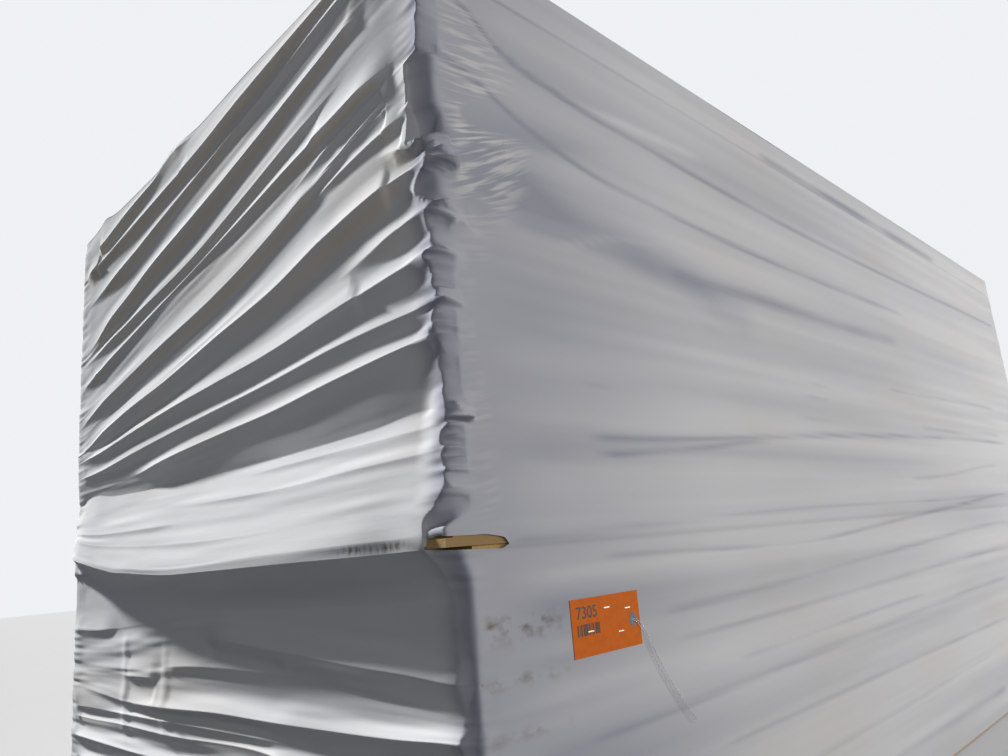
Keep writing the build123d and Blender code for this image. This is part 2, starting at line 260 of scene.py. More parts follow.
# Creases of the long side: places from the near corner along it and heights, the height of each
# off the face, its half width and how much painted shade it gets along it, where a negative one
# takes painted shade away
LONG_CREASES = [
    ([(60, 1180), (2400, 1180)], -0.8, 3.0, 0.4),
    ([(30, 1145), (110, 1104), (220, 1085), (450, 1072), (2400, 1070)], -1.2, 5.0, 0.6),
    ([(-20, 1060), (50, 1045), (140, 1012), (260, 985), (420, 975), (1500, 968)], -1.2, 5.0, 0.6),
    ([(827, 1190), (1350, 1191), (1877, 1189)], -0.6, 9.0, 0.8),
    ([(246, 1084), (358, 1092), (465, 1098), (590, 1104)], 1.2, 8.0, -0.5),
    ([(180, 858), (299, 894), (420, 905)], 1.0, 5.0, -0.3),
    ([(250, 1082), (602, 1108)], 1.6, 6.0, 0.0),
    ([(497, 1052), (797, 1072)], 1.4, 6.0, 0.0),
    ([(692, 937), (977, 944)], 1.4, 6.0, 0.0),
    ([(452, 872), (760, 878), (1067, 880), (1427, 887)], -1.0, 11.0, 0.7),
    ([(-12, 908), (85, 868), (227, 854), (377, 838), (497, 817), (632, 782), (767, 775)], 2.2, 11.0, 0.0),
    ([(0, 935), (100, 915), (250, 892), (500, 862), (700, 830)], -0.8, 34.0, 0.55),
    ([(887, 739), (962, 739)], 1.4, 3.5, 0.3),
    ([(857, 712), (962, 712)], 1.4, 3.5, 0.3),
    ([(827, 671), (962, 671)], 1.4, 3.5, 0.3),
    ([(212, 679), (272, 679)], 1.2, 3.5, 0.3),
    ([(212, 610), (707, 630), (1052, 647), (1277, 655), (2237, 670)], -1.8, 4.5, 0.6),
    ([(227, 589), (450, 603), (677, 620)], -1.4, 4.5, 0.5),
    ([(1472, 682), (2177, 692)], -1.2, 3.5, 0.4),
    ([(1307, 763), (2177, 775)], -1.2, 4.0, 0.4),
    ([(1337, 562), (1577, 569), (2072, 601)], -1.4, 4.0, 0.4),
    ([(47, 494), (737, 509), (1577, 512), (2117, 520)], 1.2, 3.0, 0.3),
    ([(212, 464), (827, 454), (1127, 470), (1577, 493), (2117, 519)], -1.4, 4.0, 0.5),
    ([(332, 389), (1067, 412), (2057, 442)], -1.2, 4.0, 0.4),
    ([(347, 352), (1997, 374)], -1.2, 4.0, 0.4),
    ([(167, 271), (977, 283), (1937, 298)], -1.2, 4.5, 0.4),
    ([(497, 307), (1277, 317)], -1.2, 4.0, 0.4),
    ([(422, 206), (1862, 202)], -1.2, 4.0, 0.4),
    ([(662, 133), (1802, 137)], -1.2, 4.0, 0.4),
    ([(977, 67), (1727, 55)], 2.0, 8.0, 0.4),
]


def plain(points):
    """A guide line that has no fold on it."""
    return (points, 0, (0, 1), (1, 2))


GUIDES = [plain([(0, TOP_Z - CORNER_RADIUS), (1219, TOP_Z - CORNER_RADIUS)])] + FOLDS
GUIDES += [plain(WALL_FOOT), plain(PANEL_TOP)] + PANEL_FOLDS
GUIDES += [plain(LIP_TOP), plain(TEAR_TOP), plain(TEAR_FOOT), plain(RETURN_FOOT)] + LOW_FOLDS
GUIDES += [plain([(0, HEM_Z), (1219, HEM_Z)])]
TEAR_TOP_LINE = [points for points, _, _, _ in GUIDES].index(TEAR_TOP)


def guide_lines(place):
    """Height of each guide line at each place, kept in order from the top down."""
    lines = np.array([curve_through(points, place) for points, _, _, _ in GUIDES])
    for above, below in zip(lines, lines[1:]):
        np.minimum(below, above - LEAST_GAP, out=below)
    return lines


def row_plan(pitch):
    """The film's rows: the guide line above each, and how far down to the next line it lies."""
    lines = guide_lines(np.linspace(0, WIDTH, 60))
    plan = []
    for number, (upper, lower) in enumerate(zip(lines, lines[1:])):
        count = max(2, round(float(np.mean(upper - lower)) / pitch))
        for step in range(count):
            plan.append((number, 0.5 * step / count + 0.25 * (1 - cos(pi * step / count))))
    plan.append((len(lines) - 2, 1.0))
    return plan


def between_lines(lines, plan):
    """Each row's height from those of the guide lines."""
    return np.array([lines[number] + (lines[number + 1] - lines[number]) * t for number, t in plan])


def fold_gaps(lines, alive):
    """Distance from each line to the next live fold above it and below it."""
    over, under = np.full(lines.shape, 20.0), np.full(lines.shape, 20.0)
    for number in range(1, len(lines)):
        step = lines[number - 1] - lines[number]
        over[number] = np.minimum(step + (1 - alive[number - 1]) * over[number - 1], 90)
    for number in range(len(lines) - 2, -1, -1):
        step = lines[number] - lines[number + 1]
        under[number] = np.minimum(step + (1 - alive[number + 1]) * under[number + 1], 75)
    return over, under


def film_rows(place, plan):
    """Height of every film row at each place, how far its folds stand out and how much painted warm light
    it gets in the shade under its crests.
    """
    lines = guide_lines(place)
    swell = np.array([
        height * smooth_step(*near, place) * (1 - smooth_step(*far, place))
        for _, height, near, far in GUIDES
    ])
    over, under = fold_gaps(lines, smooth_step(0.5, 3.0, swell))
    descent = np.maximum(-np.gradient(lines, place, axis=1), 0)
    swell = np.minimum(swell, STEEPEST * over / (1 + 1.86 * descent) + 0.3)
    heights = between_lines(lines, plan)
    folds, warm_tint_and_painted_light = np.zeros(heights.shape), np.zeros(heights.shape)
    for line, rise, above, below in zip(lines, swell, over, under):
        if rise.any():
            reach = np.minimum(0.54 * below, 3 * rise + 4)
            depth = (line - heights) / reach
            flank = np.clip(1 - (heights - line) / (0.46 * above), 0, 1) ** 1.7
            folds += rise * np.where(heights > line, flank, np.clip(1 - depth, 0, 1) ** 1.35)
            # painted warm light in the shade just under each crest
            warm_tint_and_painted_light = np.maximum(warm_tint_and_painted_light, smooth_step(2, 7, rise) * bell(depth, 0.5, 0.4))
    return heights, folds, warm_tint_and_painted_light * smooth_step(780, 900, heights)


def wrap_line(place):
    """Plan points of the film's line round the boards, and the way that its outside faces."""
    turns = [
        (-LENGTH - WIDTH, (FAR_X, FAR_Y), (0, -1)),
        (-LENGTH, (FAR_X, NEAR_Y), (-1, 0)),
        (0.0, (NEAR_X, NEAR_Y), (0, 1)),
        (WIDTH, (NEAR_X, FAR_Y), (1, 0)),
        (WIDTH + LENGTH, (FAR_X, FAR_Y), (0, -1)),
        (2 * WIDTH + LENGTH, (FAR_X, NEAR_Y), (-1, 0)),
    ]
    r = CORNER_RADIUS
    place = np.asarray(place, float)
    point = np.zeros(place.shape + (2,))
    facing = np.zeros(place.shape + (2,))
    for start, corner, heading in turns:
        here = place >= start
        heading, corner = np.array(heading, float), np.array(corner, float)
        point[here] = corner + (place[here] - start)[:, None] * heading
        facing[here] = (-heading[1], heading[0])
    for (_, _, before), (start, corner, after) in zip(turns, turns[1:]):
        here = np.abs(place - start) < r
        angle = ((place[here] - start + r) * pi / (4 * r))[:, None]
        before, after, corner = np.array(before, float), np.array(after, float), np.array(corner)
        point[here] = corner + r * (after - before - after * np.cos(angle) + before * np.sin(angle))
        facing[here] = before * np.sin(angle) - after * np.cos(angle)
    return point, facing


def flow_lines(place, plan):
    """A height for each row that stays the same along it, so that wrinkles follow the folds."""
    middle = between_lines(guide_lines(np.array([430.0])), plan)
    return np.broadcast_to(middle, (len(plan), len(place)))


def loose_depth(place, height):
    """How far the film stands out of the boards' end, before its folds."""
    edge = curve_through(SHOULDER, height)
    edge = edge + 2.4 * ripple(height / 6.0, place * 0, 11)
    edge = edge + 1.6 * ripple(height / 17.0, place * 0, 12)
    edge = np.where(place > TEAR_TO, np.minimum(edge, TEAR_TO), edge)
    ramp = np.clip(edge + 15 * smooth_step(10, 30, edge), 6.5, 60)
    share = np.clip((place - edge + ramp) / ramp, 0, 1) ** 0.8
    over_tear = 0.96 * smooth_step(530, 507, height) * smooth_step(496, 500, height)
    share = np.where(place < TEAR_TO + 1, np.maximum(share, over_tear), share)
    lip_top, tear_foot = curve_through(LIP_TOP, place), curve_through(TEAR_FOOT, place)
    top, foot = curve_through(PANEL_TOP, place), curve_through(RETURN_FOOT, place)
    loose = np.where(height > 500, curve_through(LOOSE_DEPTH, place), curve_through(LOW_DEPTH, place))
    loose = loose * (0.75 + 0.25 * smooth_step(TOP_Z + 4, TOP_Z - 36, height))
    loose = loose + 6.0 * smooth_step(1150, 1220, height) * window(20, 90, 400, 700, place)
    valley = np.exp(-np.abs(height - top) / np.where(height > top, 45.0, 90.0))
    loose = loose * (1 - 0.55 * valley * smooth_step(-5, 55, place))
    down_panel = np.clip((top - height) / (top - lip_top), 0, 1) ** 1.2
    down_return = 1 - np.clip((tear_foot - height) / (tear_foot - foot), 0, 1)
    out = np.where(height > tear_foot, down_panel, down_return ** 1.7)
    clear = 2.2 * smooth_step(-40, 0, place)
    fin = 5.0 * np.exp(-np.maximum(place - edge, 0) / 20.0) * window(700, 730, 1150, 1200, height)
    return clear + share * (loose + (curve_through(LIP_DEPTH, place) - loose) * out + fin - clear)


def top_lift(place):
    """How far the film's top edge lifts off, which never takes it below the boards' top."""
    return np.maximum(curve_through(TOP_LIFT, place), 0)


def end_relief(place, height, line):
    """Fine wrinkles of the near end, in mm."""
    fine = ripples(line, place, (0.55, 10.0, 150.0, 21), (0.9, 23.0, 230.0, 22))
    far = window(1110, 1210, 1225, 1300, place)
    near = window(-46, -6, 8, 60, place)
    comb = ripples(height, place, (1.0, 7.0, 60.0, 23), (0.8, 14.0, 60.0, 24))
    low = smooth_step(480, 300, height)
    smooth = 1 - 0.65 * smooth_step(260, 90, place) * smooth_step(880, 980, height)
    fine = fine * (1 + 0.8 * low) * smooth + 1.0 * comb * far + 1.4 * comb * near
    upright = 1.5 * bell(place, 915, 13.0) + 1.0 * bell(place, 740, 12.0)
    fine = fine + upright * window(200, 260, 370, 400, height)
    return fine * smooth_step(TOP_Z + 2, TOP_Z - 20, height)


def by_sheet(height):
    """1 at the projecting sheet's height, and dying away above and below it."""
    return bell(height, SHEET_MIDDLE, SHEET_REACH, 4)


def ear_shift(place, height):
    """How far the ears stick out past the near corner and up."""
    out, up = np.zeros(height.shape), np.zeros(height.shape)
    for at, level, length, rise in EARS:
        share = np.exp(-(((place - at) / 6.0) ** 2) - ((height - level) / 2.3) ** 2)
        out += length * share
        up += rise * share
    return out, up


def crease_height(along, height):
    """Height of the long side's creases and the painted shade along them, at places along it."""
    out, dark = np.zeros(np.shape(height)), np.zeros(np.shape(height))
    for points, rise, half, shade in LONG_CREASES:
        start, end = points[0][0], points[-1][0]
        near = window(start - 25, start + 40, end - 60, end + 25, along)
        near = near * (0.75 + 0.35 * ripple(along / 130.0, height * 0, int(start + points[0][1])))
        crease = bell(height, curve_through(points, along), half) * near
        out, dark = out + rise * crease, dark + shade * crease
    return out, dark


def hatch_slope(along, height):
    """Slope of the long side's hatching against the level."""
    return curve_through(HATCH_SLOPE, height - 0.2 * along)


def side_relief(place, height):
    """Fine wrinkles of the long side, its painted shade, and how hatched it is, which also sets painted
    light streaks.
    """
    along = -place
    creases, dark = crease_height(along, height)
    fine = ripples(height, along, (0.35, 8.0, 260.0, 31), (0.6, 24.0, 420.0, 32))
    across = height - hatch_slope(along, height) * along
    lines = ripple(across / 5.4, along / 70.0, 33)
    hatch = smooth_step(-2, 12, along) * curve_through(HATCH_SHARE, height)
    hatch = hatch * (1 - smooth_step(0.55, 1.0, along / curve_through(HATCH_REACH, across)))
    far = smooth_step(1900, 2050, along) * window(760, 820, 1120, 1170, height)
    bands = ripples(height, along, (0.22, 46.0, 900.0, 35), (0.16, 15.0, 600.0, 36))
    fine = fine + lines * (hatch + 0.5 * far)
    # painted shade, darker towards the near corner and dying away along the side
    corner = 0.6 * window(-60, -10, 0, 560, along)
    # a painted blue-grey band of shade across the upper side near the corner
    painted_blue_shade = 0.3 * bell(across, 925, 50.0) * smooth_step(420, 60, along)
    # painted shade of the creases, the corner and the band, an even darkening of the whole side and random
    # darker bands
    dark = dark + corner + painted_blue_shade + 0.12 + bands * smooth_step(20, 140, along)
    tag = window(109, 149, 275, 330, along) * window(225, 250, 425, 450, height)
    wire = window(240, 260, 365, 400, along) * window(225, 245, 395, 410, height)
    calm = 1 - 0.96 * np.maximum(tag, wire)
    return (fine + creases) * calm, {"shade": dark, "hatch": hatch + 0.5 * far}


def film_points(place, plan, settings):
    """Points of the film in mm for each row and place, and the values that its looks go by."""
    heights, folds, warm_tint_and_painted_light = film_rows(place, plan)
    place = np.broadcast_to(place, heights.shape)
    line, facing = wrap_line(place)
    slide = np.where(place < 0, smooth_step(-64, 0, place), 1.0)
    out_of_end = np.where(place > WIDTH + 80, 0.0, loose_depth(place, heights)) * slide
    on_end = window(-30, 5, WIDTH - 30, WIDTH + 60, place)
    side, values = side_relief(np.minimum(place, 0), heights)
    fine = end_relief(place, heights, flow_lines(place[0], plan))
    relief = folds * settings.fold_height + on_end * fine * settings.wrinkle_height
    floor = -1.4 * smooth_step(-5, -16, place)
    relief = relief + (1 - on_end) * np.maximum(side * settings.wrinkle_height, floor)
    over_sheet = OVER_SHEET * window(-LENGTH + 4, -LENGTH + 30, 0, 60, place)
    over_sheet = over_sheet - BACK_BULGE * smooth_step(WIDTH - 10, WIDTH + 10, place)
    over_sheet = over_sheet * by_sheet(heights)
    ear, ear_up = ear_shift(place, heights)
    lift = top_lift(place) * smooth_step(1190, TOP_Z, heights)
    x = line[..., 0] - out_of_end + relief * facing[..., 0] - 0.25 * ear
    y = line[..., 1] + relief * facing[..., 1] - over_sheet - ear
    ridge = window(48, 60, 150, 190, place) * bell(heights, 495.5, 4.2, 4)
    along = -place
    scuff = bell(heights, 404, 13.0) + 0.7 * bell(heights, 352, 6.0) + 0.5 * bell(heights, 300, 5.0)
    scuff = scuff * window(0, 20, 90, 150, along)
    # painted shade on the strip of film that turns round the near corner
    painted_strip_shade = window(-9, 2, 16, 60, place)
    values["hatch"] = values["hatch"] * (1 - on_end)
    # the painted shade: the long side's, dying away onto the near end, and that of the corner strip
    values["shade"] = np.clip(values["shade"] * smooth_step(45, 2, place) + 0.25 * painted_strip_shade, 0, 1)
    values["soil"] = np.clip(ridge + scuff, 0, 1)
    # painted warm light under the near end's crests, for the film's material
    values["warm_tint_and_painted_light"] = warm_tint_and_painted_light * on_end * smooth_step(-20, 80, place)
    values["along"], values["across"] = along, heights - hatch_slope(along, heights) * along
    return np.stack([x, y, heights + ear_up + lift], axis=-1), values


def film_sheet(name, points, values, keep=None):
    """One open sheet of film from a grid of points in mm, without the cells that aren't kept."""
    rows, columns = points.shape[:2]
    number = np.arange(rows * columns).reshape(rows, columns)
    cells = np.stack([number[1:, :-1], number[:-1, :-1], number[:-1, 1:], number[1:, 1:]], axis=-1)
    cells = cells.reshape(-1, 4) if keep is None else cells[keep]
    used, cells = np.unique(cells, return_inverse=True)
    cells = cells.reshape(-1, 4)
    mesh = bpy.data.meshes.new(name)
    mesh.vertices.add(len(used))
    mesh.vertices.foreach_set("co", (points.reshape(-1, 3)[used] * MM).astype(np.float32).ravel())
    mesh.loops.add(cells.size)
    mesh.loops.foreach_set("vertex_index", cells.astype(np.int32).ravel())
    mesh.polygons.add(len(cells))
    mesh.polygons.foreach_set("loop_start", np.arange(0, cells.size, 4, dtype=np.int32))
    mesh.update(calc_edges=True)
    mesh.validate()
    for label, value in values.items():
        layer = mesh.attributes.new(label, "FLOAT", "POINT")
        layer.data.foreach_set("value", value.ravel()[used].astype(np.float32))
    mesh.shade_smooth()
    mesh.materials.append(film_material())
    piece = bpy.data.objects.new(name, mesh)
    bpy.context.scene.collection.objects.link(piece)
    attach(piece, "root")
    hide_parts("shrink_film")
    return piece


def spaced(*stretches):
    """Places along the film from stretches of start, end and pitch."""
    places = []
    for start, end, pitch in stretches:
        places.extend(np.linspace(start, end, max(1, round(abs(end - start) / pitch)), endpoint=False))
    places.append(stretches[-1][1])
    return np.array(places)


def catch_key(piece):
    """Lets the key light, which grazes the near end, fall on a piece."""
    bpy.data.collections["caught_by_key"].objects.link(piece)


def scaled(colour, *shares):
    """A colour times one share, or times a share for each channel."""
    return tuple(c * k for c, k in zip(colour, shares * 3))


def make_material(name):
    """A new material, its node tree and its shader."""
    material = bpy.data.materials.new(name)
    material.use_nodes = True
    tree = material.node_tree
    return material, tree, tree.nodes["Principled BSDF"]


def add_node(tree, kind, **values):
    """A new node with the given socket values and settings."""
    node = tree.nodes.new(kind)
    for label, value in values.items():
        if label in node.inputs:
            node.inputs[label].default_value = value
        else:
            setattr(node, label, value)
    return node


def noise(tree, scale, stretch=(1, 1, 1), detail=4.0):
    """A noise pattern on object coordinates, stretched along the given axes."""
    place = tree.nodes.new("ShaderNodeTexCoord")
    mapping = tree.nodes.new("ShaderNodeMapping")
    mapping.inputs["Scale"].default_value = stretch
    tree.links.new(place.outputs["Object"], mapping.inputs["Vector"])
    pattern = add_node(tree, "ShaderNodeTexNoise", Scale=scale, Detail=detail)
    tree.links.new(mapping.outputs["Vector"], pattern.inputs["Vector"])
    return pattern.outputs["Fac"]


def tint(tree, factor, base, other, low=0.0, high=1.0):
    """A colour that goes from base to other as the factor goes from low to high."""
    reach = tree.nodes.new("ShaderNodeMapRange")
    reach.inputs["From Min"].default_value = low
    reach.inputs["From Max"].default_value = high
    tree.links.new(factor, reach.inputs["Value"])
    mix = tree.nodes.new("ShaderNodeMix")
    mix.data_type = "RGBA"
    tree.links.new(reach.outputs["Result"], mix.inputs["Factor"])
    for socket, colour in ((mix.inputs["A"], base), (mix.inputs["B"], other)):
        if isinstance(colour, bpy.types.NodeSocket):
            tree.links.new(colour, socket)
        else:
            socket.default_value = (*colour, 1.0)
    return mix.outputs["Result"]


def coat(tree, shader, colour, roughness):
    """Gives the shader its colour pattern and its roughness."""
    tree.links.new(colour, shader.inputs["Base Color"])
    shader.inputs["Roughness"].default_value = roughness


def add_bump(tree, shader, height, distance, strength=1.0):
    """Gives the shader a bump from a height pattern, its distance in metres."""
    bump = add_node(tree, "ShaderNodeBump", Strength=strength, Distance=distance)
    tree.links.new(height, bump.inputs["Height"])
    tree.links.new(bump.outputs["Normal"], shader.inputs["Normal"])


def stored(tree, label):
    """A value that the film's mesh carries at each point."""
    return add_node(tree, "ShaderNodeAttribute", attribute_name=label).outputs["Fac"]


def product(tree, first, second, operation="MULTIPLY"):
    """The product, or what another operation gives, of two values, each a socket or a number."""
    node = add_node(tree, "ShaderNodeMath", operation=operation)
    for socket, value in zip(node.inputs, (first, second)):
        if isinstance(value, bpy.types.NodeSocket):
            tree.links.new(value, socket)
        else:
            socket.default_value = value
    return node.outputs["Value"]


def seen_directly(tree):
    """One for rays of the camera and for those through gloss or glass, and nothing for the rest."""
    path = tree.nodes.new("ShaderNodeLightPath").outputs
    seen = product(tree, path["Is Camera Ray"], path["Is Glossy Ray"], "MAXIMUM")
    return product(tree, seen, path["Is Transmission Ray"], "MAXIMUM")


def film_material():
    """White stretched film with a random warm tone and soil, painted shade from its shade attribute,
    painted warm light under the folds and painted light streaks on the hatching.
    """
    found = bpy.data.materials.get("white_film")
    if found:
        return found
    settings = bpy.context.scene.bundle_settings
    material, tree, shader = make_material("white_film")
    white = tuple(settings.film_colour)
    # the film in painted shade, a warm tint for the random tone and the painted light streaks, and the
    # painted warm light under the folds
    shaded, warm_tint_and_painted_light = scaled(white, 0.52, 0.535, 0.60), scaled(white, 0.99, 0.96, 0.92)
    painted_glow = scaled(white, 1.0, 0.87, 0.70)
    colour = tint(tree, noise(tree, 3.0, (1, 1, 3)), white, warm_tint_and_painted_light, 0.45, 0.75)
    # painted shade from the shade attribute: creases, the near corner, a blue-grey band and random darker
    # bands
    colour = tint(tree, stored(tree, "shade"), colour, shaded)
    # painted warm light in the shade under the folds' crests
    colour = tint(tree, product(tree, stored(tree, "warm_tint_and_painted_light"), 0.8), colour, painted_glow)
    place = tree.nodes.new("ShaderNodeCombineXYZ")
    tree.links.new(product(tree, stored(tree, "across"), 0.16), place.inputs["X"])
    tree.links.new(product(tree, stored(tree, "along"), 0.013), place.inputs["Y"])
    streaks = add_node(tree, "ShaderNodeTexNoise", Scale=1.0, Detail=2.0)
    tree.links.new(place.outputs["Vector"], streaks.inputs["Vector"])
    streaks = tint(tree, streaks.outputs["Fac"], (0, 0, 0), (1, 1, 1), 0.46, 0.6)
    hatch = product(tree, stored(tree, "hatch"), streaks)
    # painted light streaks along the hatching of the long side
    colour = tint(tree, product(tree, hatch, 0.5), colour, warm_tint_and_painted_light)
    patches = tint(tree, noise(tree, 44.0, (1, 3.4, 1.6), 6.0), (0, 0, 0), (1, 1, 1), 0.46, 0.7)
    soil = product(tree, stored(tree, "soil"), patches)
    colour = tint(tree, soil, colour, tuple(settings.soil_colour))
    coat(tree, shader, colour, settings.film_roughness)
    shader.inputs["Specular IOR Level"].default_value = 0.0
    add_bump(tree, shader, noise(tree, 60.0, (0.2, 0.2, 1.6), 3.0), 0.0006, 0.35)
    return material


def foam_material(name, colour, grain):
    """Cut rigid foam with a fine open grain."""
    material, tree, shader = make_material(name)
    mixed = tint(tree, noise(tree, 260.0), colour, scaled(colour, 0.72), 0.35, 0.75)
    mixed = tint(tree, noise(tree, 24.0), mixed, scaled(colour, 0.85), 0.5, 0.8)
    coat(tree, shader, mixed, 0.88)
    add_bump(tree, shader, noise(tree, 420.0), grain, 0.6)
    return material


def sheet_material(colour):
    """The projecting sheet's foam, with painted shade that makes its long side darker than its end."""
    material = foam_material("sheet_foam", colour, 0.0006)
    tree = material.node_tree
    shader = tree.nodes["Principled BSDF"]
    grained_colour = shader.inputs["Base Color"].links[0].from_socket
    place = tree.nodes.new("ShaderNodeTexCoord")
    split = tree.nodes.new("ShaderNodeSeparateXYZ")
    tree.links.new(place.outputs["Object"], split.inputs["Vector"])
    # painted shade: the sheet's long side darker than its end
    side = (SHEET_LOW.y + 0.0002, SHEET_LOW.y + 0.001)
    mixed = tint(tree, split.outputs["Y"], scaled(colour, 0.62, 0.60, 0.66), grained_colour, *side)
    tree.links.new(mixed, shader.inputs["Base Color"])
    return material


def mottled_material(name, roughness, scale, colour, other, low=0.0, high=1.0):
    """A material whose colour goes over to another in patches of the given scale."""
    material, tree, shader = make_material(name)
    coat(tree, shader, tint(tree, noise(tree, scale), colour, other, low, high), roughness)
    return material, tree, shader


def card_material(colour):
    """Coated tag card with a faint mottle."""
    dull = scaled(colour, 0.86)
    material, tree, shader = mottled_material("tag_stock", 0.75, 90.0, colour, dull, 0.4, 0.75)
    shader.inputs["Specular IOR Level"].default_value = 0.2
    add_bump(tree, shader, noise(tree, 700.0), 0.0002, 0.3)
    return material


def metal_material(name, colour):
    """Drawn steel wire with a faint dulling."""
    dull = scaled(colour, 0.6)
    material, _, shader = mottled_material(name, 0.38, 300.0, colour, dull, 0.45, 0.8)
    shader.inputs["Metallic"].default_value = 1.0
    return material


def paint_node(name, material):
    """Gives a node of the solid model its material."""
    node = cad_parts[name]
    for number in range(len(node.material_slots)):
        node.material_slots[number].material = material


class BundleSettings(PropertyGroup):
    """Sizes and colours of the bundle's looks."""

    film_colour: FloatVectorProperty(
        name="Film colour", description="Colour of the clean film",
        subtype="COLOR", size=3, min=0, max=1, default=(0.85, 0.85, 0.852))
    soil_colour: FloatVectorProperty(
        name="Soil colour", description="Colour of the soil and scuffs on the film",
        subtype="COLOR", size=3, min=0, max=1, default=(0.20, 0.145, 0.095))
    film_roughness: FloatProperty(
        name="Film roughness", description="Roughness of the film's surface",
        min=0, max=1, default=0.6, subtype="FACTOR")
    fold_height: FloatProperty(
        name="Fold height", description="Height of the near end's folds against the real ones",
        min=0, max=1.4, default=1.0, subtype="FACTOR")
    wrinkle_height: FloatProperty(
        name="Wrinkle height", description="Height of the fine wrinkles against the real ones",
        min=0, max=2, default=1.0, subtype="FACTOR")
    foam_colour: FloatVectorProperty(
        name="Foam colour", description="Colour of the boards' cut foam",
        subtype="COLOR", size=3, min=0, max=1, default=(0.62, 0.40, 0.15))
    tag_colour: FloatVectorProperty(
        name="Tag colour", description="Colour of the tag's card",
        subtype="COLOR", size=3, min=0, max=1, default=(0.86, 0.185, 0.012))
    tag_number: IntProperty(
        name="Tag number", description="Plain number printed on the tag",
        min=0, max=9999, default=7305)
    print_height: FloatProperty(
        name="Print height", description="Height of the tag's printed number",
        default=0.013, unit="LENGTH", min=0.005, max=0.03)
    wire_diameter: FloatProperty(
        name="Wire diameter", description="Diameter of the tag's tie wire",
        default=0.0006, unit="LENGTH", min=0.0003, max=0.003)
    floor_colour: FloatVectorProperty(
        name="Floor colour", description="Colour of the studio floor",
        subtype="COLOR", size=3, min=0, max=1, default=(0.84, 0.83, 0.81))
    key_strength: FloatProperty(
        name="Key strength", description="Strength of the key light",
        default=8.3, min=0, max=20)
    back_strength: FloatProperty(
        name="Back strength", description="Strength of the soft light on the top, the back and the floor",
        default=2.4, min=0, max=20)
    side_strength: FloatProperty(
        name="Side strength", description="Power of the soft light on the long side, in watts",
        default=185.0, min=0, max=5000)
    corner_strength: FloatProperty(
        name="Corner strength", description="Power of the soft light on the near corner, in watts",
        default=30.0, min=0, max=1000)
    fill_strength: FloatProperty(
        name="Fill strength", description="Strength of the light from all round",
        default=0.094, min=0, max=2)


# The camera as fitted to the photograph, and where the two suns stand
CAMERA_PLACE = (-1.7620, -1.2085, 0.4853)
CAMERA_RIGHT = (0.71104446, -0.69841088, -0.08147404)
CAMERA_UP = (-0.09306631, -0.20832883, 0.97362095)
CAMERA_LENS = 27.698
KEY_FROM = (-0.115, 0.875, 0.470)
BACK_FROM = (0.45, 0.65, 0.61)


def add_lamp(name, kind, strength, colour, place, aim, receivers=None):
    """A lamp at a place that shines at its aim, on all or only on a collection's pieces."""
    light = bpy.data.lights.new(name, kind)
    light.energy, light.color = strength, colour
    lamp = bpy.data.objects.new(name, light)
    lamp.location = place
    lamp.rotation_euler = (Vector(aim) - Vector(place)).to_track_quat("-Z", "Y").to_euler()
    if receivers is not None:
        lamp.light_linking.receiver_collection = receivers
    bpy.context.scene.collection.objects.link(lamp)
    return light


